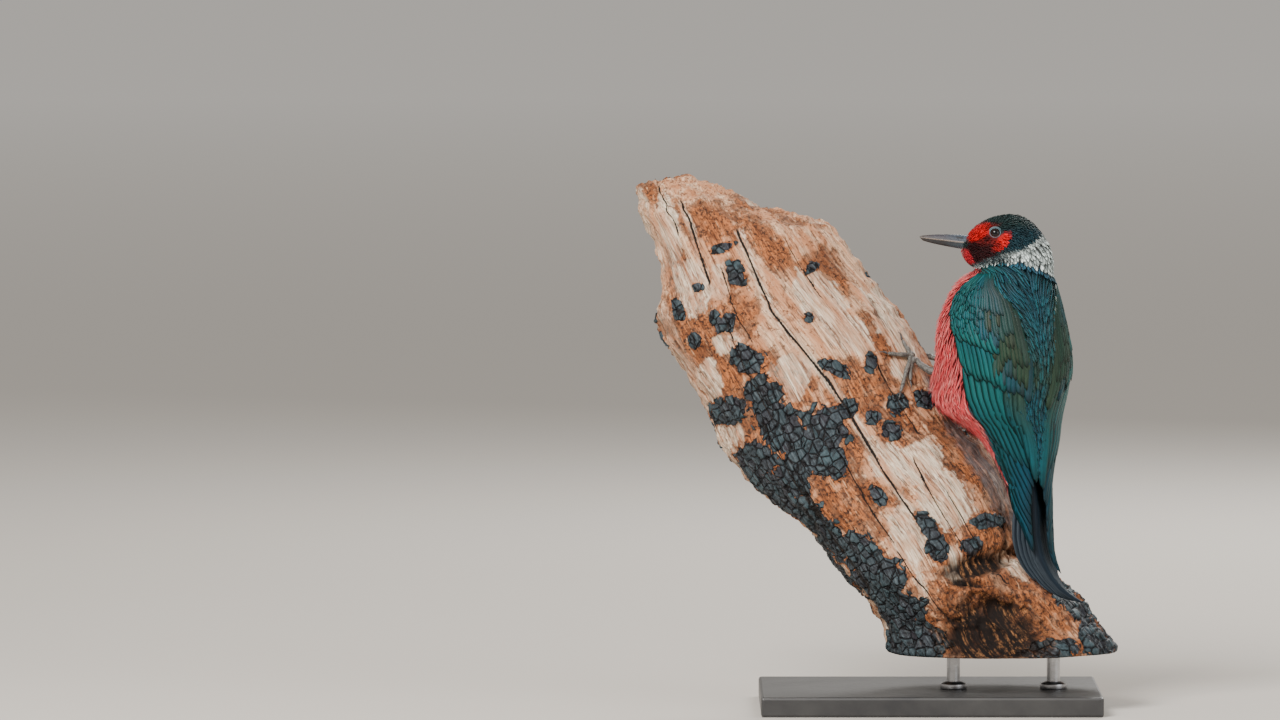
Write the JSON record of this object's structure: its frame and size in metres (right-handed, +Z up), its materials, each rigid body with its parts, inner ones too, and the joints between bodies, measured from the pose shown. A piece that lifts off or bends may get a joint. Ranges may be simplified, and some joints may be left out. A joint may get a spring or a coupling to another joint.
{
  "type": "Lewis's woodpecker, still museum model on a snag",
  "caption": "Life-size still model of a Lewis's woodpecker clinging to the side of a leaning scorched snag, on a plain flat stand with short rods.",
  "frame": {"origin": "centre of the underside of the stand's base plate", "axes": "+Z up; -X the way the bill points; -Y the way the display faces, with the bird's left wing and back"},
  "size_m": [0.2904, 0.1588, 0.3172],
  "materials": {
    "glossy_plumage": "glossy dark blue-green feathers of back and wings, bronze-green on the shoulder",
    "crown_plumage": "dark oily green feathers with a crimson face",
    "collar_plumage": "silvery white scalloped feathers",
    "belly_plumage": "hair-like rose red feathers with pale streaks",
    "tail_plumage": "stiff blackish feathers with a blue-green gloss",
    "bill_horn": "slate grey horn, satin",
    "eye_dark": "wet dark eye",
    "leg_scales": "blue-grey scaly skin",
    "claw_horn": "dark horn, satin",
    "snag_wood": "weathered dead wood, scorched orange-brown, with blue-black char",
    "stand_paint": "fine-textured dark paint",
    "stand_steel": "brushed"
  },
  "bodies": {
    "root": {"trunk": "glossy_plumage", "wing_left": "glossy_plumage", "wing_right": "glossy_plumage", "tail": "tail_plumage", "head": "crown_plumage", "neck": "collar_plumage", "bill_upper": "bill_horn", "bill_lower": "bill_horn", "eye_left": "eye_dark", "eye_right": "eye_dark", "leg_left": "leg_scales", "leg_right": "leg_scales", "foot_left": "leg_scales", "foot_right": "leg_scales", "claw_left_1": "claw_horn", "claw_left_2": "claw_horn", "claw_left_3": "claw_horn", "claw_left_4": "claw_horn", "claw_right_1": "claw_horn", "claw_right_2": "claw_horn", "claw_right_3": "claw_horn", "claw_right_4": "claw_horn", "snag": "snag_wood", "stand_base": "stand_paint", "stand_rod_left": "stand_steel", "stand_rod_right": "stand_steel"}
  },
  "joints": []
}
